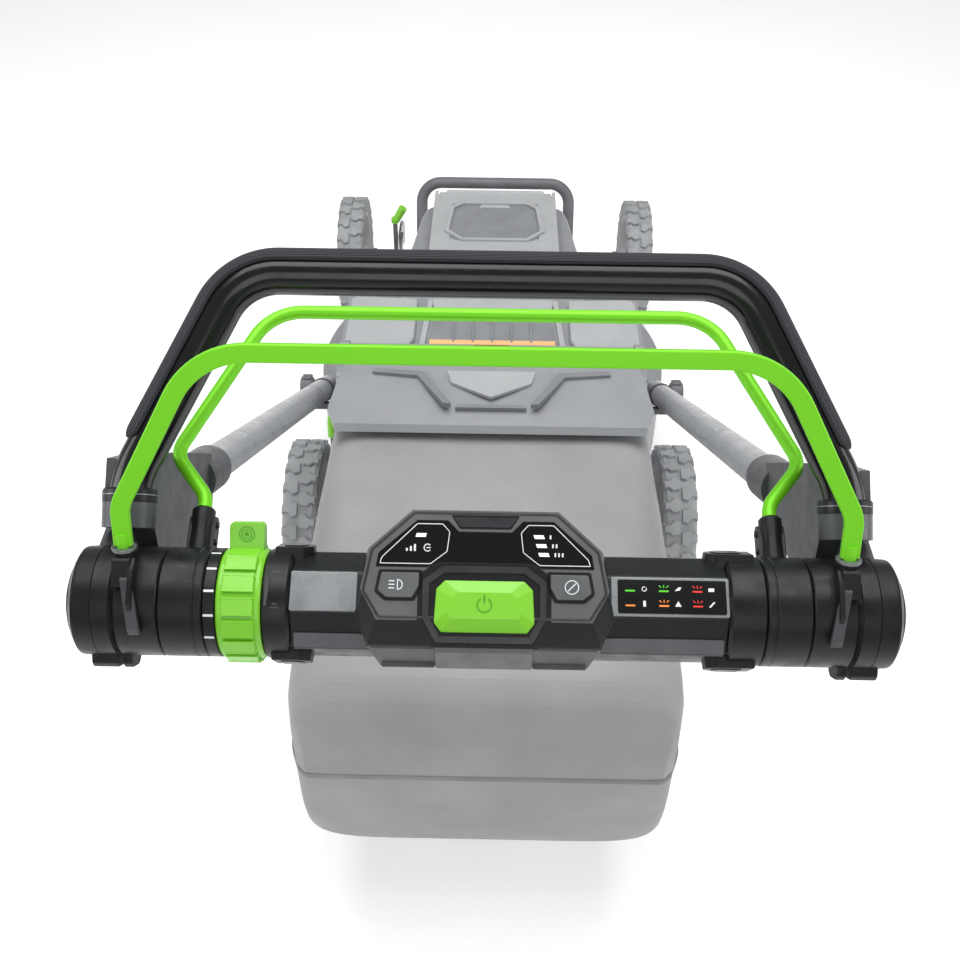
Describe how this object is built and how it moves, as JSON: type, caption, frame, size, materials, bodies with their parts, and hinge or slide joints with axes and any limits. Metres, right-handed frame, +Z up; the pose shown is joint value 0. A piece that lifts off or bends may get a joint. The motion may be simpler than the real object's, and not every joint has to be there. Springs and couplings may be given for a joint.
{
  "type": "walk-behind lawn mower",
  "caption": "Walk-behind battery lawn mower with a console handle, blade and drive bails, a rear grass bag and height-adjustable wheels.",
  "frame": {"origin": "on the ground under the middle of the bounding box", "axes": "+X to the operator's right, +Y forward, the way it mows, +Z up"},
  "size_m": [0.61, 1.7508, 1.0299],
  "materials": {
    "deck_casting": "cast and powder coated grey, satin",
    "cover_plastic": "moulded grey cover, fine grain",
    "rim_plastic": "moulded light grey, satin",
    "black_plastic": "moulded black, fine spark texture",
    "dark_plastic": "moulded charcoal",
    "gloss_black": "polished black lens",
    "lime_plastic": "moulded lime green, semi gloss",
    "lime_paint": "powder coated lime green",
    "black_paint": "gloss black coated tube",
    "grey_tube": "coated grey tube, satin",
    "casting": "cast and coated dark grey",
    "grip_rubber": "ribbed soft grip",
    "tyre": "moulded rubber tread",
    "steel": "turned and zinc plated",
    "bag_fabric": "woven coated polyester"
  },
  "bodies": {
    "chassis": {"deck": "deck_casting", "cowl": "cover_plastic", "motor_housing": "casting", "controller": "dark_plastic", "battery_pack": "black_plastic", "front_lift_handle": "grey_tube", "handle_mount_left": "casting", "handle_mount_right": "casting", "handle_pins": "dark_plastic", "front_quadrant": "steel", "rear_quadrant": "steel", "door_rod": "steel", "door_spring": "steel"},
    "lid": {"battery_lid": "cover_plastic"},
    "door": {"rear_door": "cover_plastic"},
    "bag": {"grass_bag": "bag_fabric", "bag_frame": "dark_plastic"},
    "cutter": {"blade": "steel", "spindle": "steel", "blade_bolt": "steel"},
    "front_crank": {"front_axle": "steel", "front_lever": "steel", "front_lever_grip": "lime_plastic"},
    "rear_crank": {"rear_axle": "steel", "rear_lever": "steel", "rear_lever_grip": "lime_plastic", "drive_gearbox": "deck_casting"},
    "shaft": {"drive_shaft": "steel"},
    "front_left_wheel": {"front_left_tyre": "tyre", "front_left_rim": "rim_plastic"},
    "front_right_wheel": {"front_right_tyre": "tyre", "front_right_rim": "rim_plastic"},
    "rear_left_wheel": {"rear_left_tyre": "tyre", "rear_left_rim": "rim_plastic"},
    "rear_right_wheel": {"rear_right_tyre": "tyre", "rear_right_rim": "rim_plastic"},
    "handle": {"lower_tube_left": "grey_tube", "lower_tube_right": "grey_tube", "bracket_left": "casting", "bracket_right": "casting", "console_beam": "steel", "console_shell": "black_plastic", "console_box": "black_plastic", "display_panel": "gloss_black", "indicator_panel": "gloss_black", "end_cap_left": "black_plastic", "end_cap_right": "black_plastic", "grip_tube": "black_paint", "grip_pad": "grip_rubber"},
    "blade_bail_set": {"blade_bail": "lime_paint", "blade_collar_left": "black_plastic", "blade_collar_right": "black_plastic"},
    "drive_bail_set": {"drive_bail": "lime_paint", "drive_collar_left": "black_plastic", "drive_collar_right": "black_plastic"},
    "dial": {"speed_dial": "lime_plastic"},
    "power_key": {"power_button": "lime_plastic"},
    "lamp_key": {"lamp_button": "dark_plastic"},
    "lock_key": {"lock_button": "dark_plastic"}
  },
  "joints": [
    {"name": "handle_fold", "type": "hinge", "parent": "chassis", "child": "handle", "pos_m": [0, -0.01164, 0.392], "axis": [-1, 0, 0], "range_deg": [0, 128]},
    {"name": "blade_bail_squeeze", "type": "hinge", "parent": "handle", "child": "blade_bail_set", "pos_m": [0, -0.81564, 0.861], "axis": [-1, 0, 0], "range_deg": [0, 17], "stiffness_Nm_per_rad": 1, "springref_deg": -20.05},
    {"name": "drive_bail_squeeze", "type": "hinge", "parent": "handle", "child": "drive_bail_set", "pos_m": [0, -0.81564, 0.861], "axis": [1, 0, 0], "range_deg": [0, 11], "stiffness_Nm_per_rad": 1.2, "springref_deg": -20.05},
    {"name": "speed_dial_turn", "type": "hinge", "parent": "handle", "child": "dial", "pos_m": [0, -0.81564, 0.861], "axis": [1, 0, 0], "range_deg": [0, 80]},
    {"name": "power_press", "type": "slide", "parent": "handle", "child": "power_key", "axis": [0, 0.6428, -0.766], "range_m": [0, 0.0025], "stiffness_N_per_m": 900, "springref_m": -0.001},
    {"name": "lamp_press", "type": "slide", "parent": "handle", "child": "lamp_key", "axis": [0, 0.6428, -0.766], "range_m": [0, 0.0015], "stiffness_N_per_m": 600, "springref_m": -0.001},
    {"name": "lock_press", "type": "slide", "parent": "handle", "child": "lock_key", "axis": [0, 0.6428, -0.766], "range_m": [0, 0.0015], "stiffness_N_per_m": 600, "springref_m": -0.001},
    {"name": "battery_lid_hinge", "type": "hinge", "parent": "chassis", "child": "lid", "pos_m": [0, 0.48236, 0.414], "axis": [-1, 0, 0], "range_deg": [0, 80]},
    {"name": "rear_door_hinge", "type": "hinge", "parent": "chassis", "child": "door", "pos_m": [0, -0.06364, 0.496], "axis": [-1, 0, 0], "range_deg": [0, 70], "stiffness_Nm_per_rad": 0.6, "springref_deg": -28.65},
    {"name": "bag_pull", "type": "slide", "parent": "chassis", "child": "bag", "axis": [0, -1, 0], "range_m": [0, 0.45]},
    {"name": "blade_spin", "type": "hinge", "parent": "chassis", "child": "cutter", "pos_m": [0, 0.33836, 0.062], "axis": [0, 0, 1], "continuous": true},
    {"name": "front_height", "type": "hinge", "parent": "chassis", "child": "front_crank", "pos_m": [0, 0.71036, 0.1], "axis": [-1, 0, 0], "range_deg": [0, 45]},
    {"name": "rear_height", "type": "hinge", "parent": "chassis", "child": "rear_crank", "pos_m": [0, -0.04164, 0.1], "axis": [-1, 0, 0], "range_deg": [0, 45]},
    {"name": "drive_shaft_spin", "type": "hinge", "parent": "rear_crank", "child": "shaft", "pos_m": [0, 0.00836, 0.12], "axis": [-1, 0, 0], "continuous": true},
    {"name": "rear_left_wheel_spin", "type": "hinge", "parent": "rear_crank", "child": "rear_left_wheel", "pos_m": [-0.279, 0.00836, 0.12], "axis": [-1, 0, 0], "continuous": true},
    {"name": "rear_right_wheel_spin", "type": "hinge", "parent": "rear_crank", "child": "rear_right_wheel", "pos_m": [0.279, 0.00836, 0.12], "axis": [-1, 0, 0], "continuous": true},
    {"name": "front_left_wheel_spin", "type": "hinge", "parent": "front_crank", "child": "front_left_wheel", "pos_m": [-0.279, 0.76036, 0.115], "axis": [-1, 0, 0], "continuous": true},
    {"name": "front_right_wheel_spin", "type": "hinge", "parent": "front_crank", "child": "front_right_wheel", "pos_m": [0.279, 0.76036, 0.115], "axis": [-1, 0, 0], "continuous": true}
  ]
}
